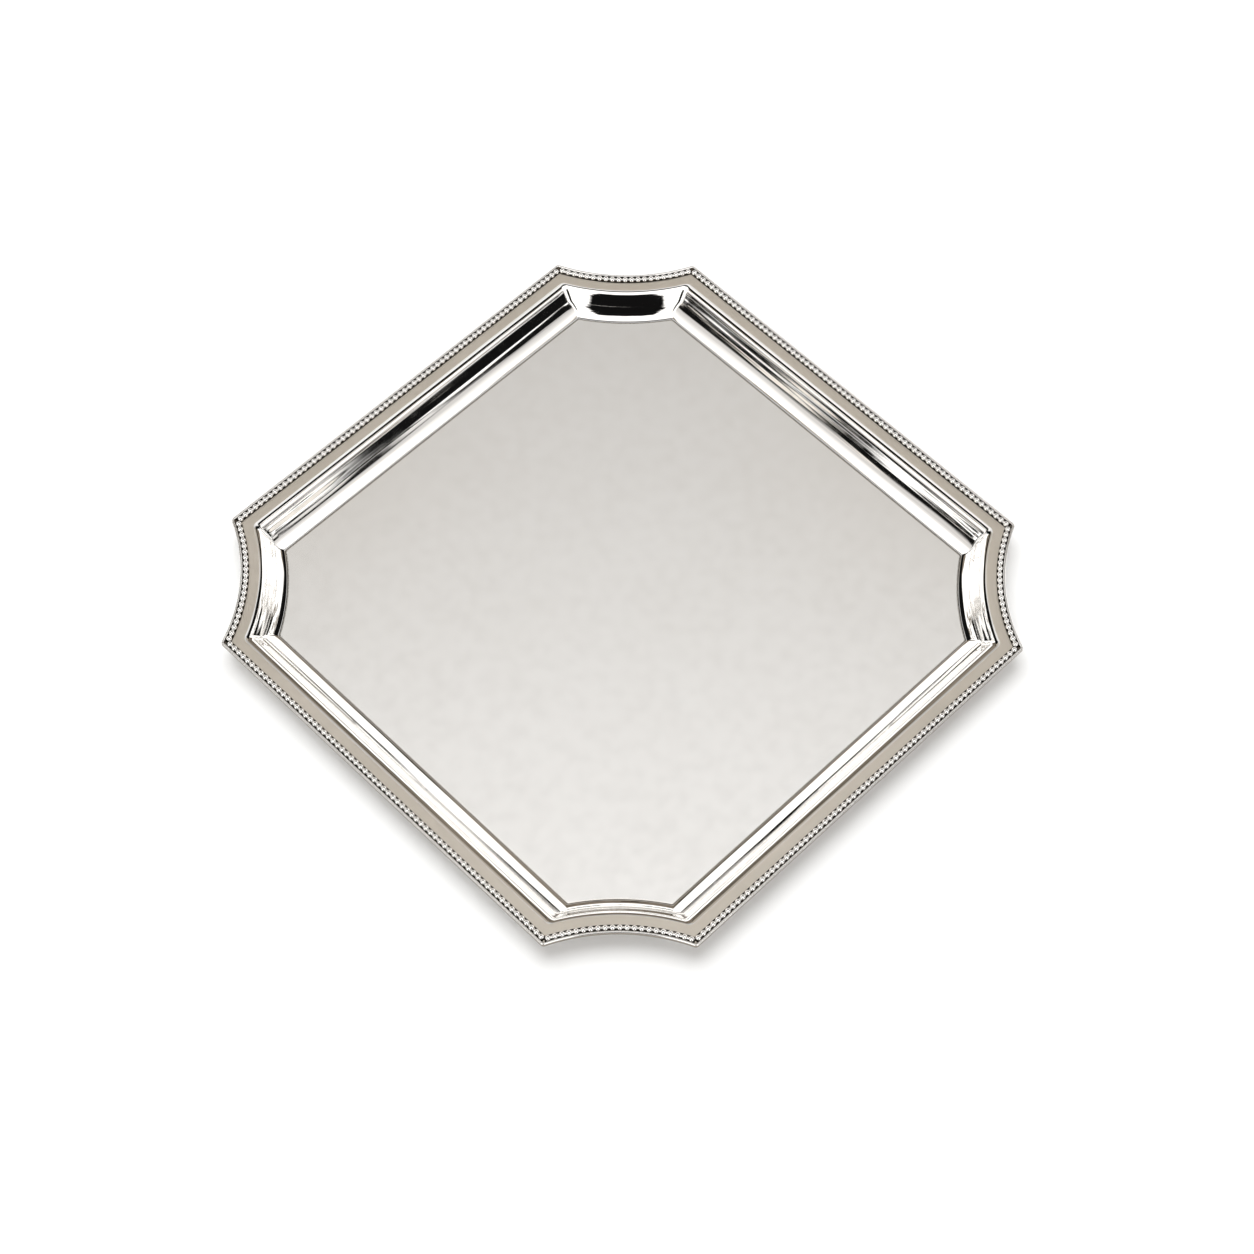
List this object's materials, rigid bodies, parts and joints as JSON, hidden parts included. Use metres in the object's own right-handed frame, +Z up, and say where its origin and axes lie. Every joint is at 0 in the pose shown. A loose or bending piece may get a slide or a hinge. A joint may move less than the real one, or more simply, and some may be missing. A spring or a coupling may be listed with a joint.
{
  "type": "salver",
  "caption": "Square silver salver with incurved corners, a sunk well with an ogee bouge, a flat satin rim and a pearl border inside a plain edge wire.",
  "frame": {"origin": "centre of the well's underside, on the surface that the salver rests on", "axes": "+Z up out of the well, X and Y along the straight sides, incurved corners on the diagonals"},
  "size_m": [0.3, 0.3, 0.0127],
  "materials": {
    "sheet_silver": "pressed silver sheet, mirror polished on the bouge and polished to a soft shine in the well",
    "satin_silver": "satin silver on the flat rim of the pressed sheet, brushed and slightly warm",
    "wire_silver": "mirror polished silver wire",
    "pearl_silver": "mirror polished silver pearls with darker tarnish in the gaps"
  },
  "bodies": {
    "root": {"tray_body": "sheet_silver", "edge_wire_front": "wire_silver", "edge_wire_right": "wire_silver", "edge_wire_back": "wire_silver", "edge_wire_left": "wire_silver", "corner_edge_wire_front_left": "wire_silver", "corner_edge_wire_front_right": "wire_silver", "corner_edge_wire_back_right": "wire_silver", "corner_edge_wire_back_left": "wire_silver", "pearl_wire_front": "pearl_silver", "pearl_wire_right": "pearl_silver", "pearl_wire_back": "pearl_silver", "pearl_wire_left": "pearl_silver", "corner_pearl_wire_front_left": "pearl_silver", "corner_pearl_wire_front_right": "pearl_silver", "corner_pearl_wire_back_right": "pearl_silver", "corner_pearl_wire_back_left": "pearl_silver"}
  },
  "joints": []
}
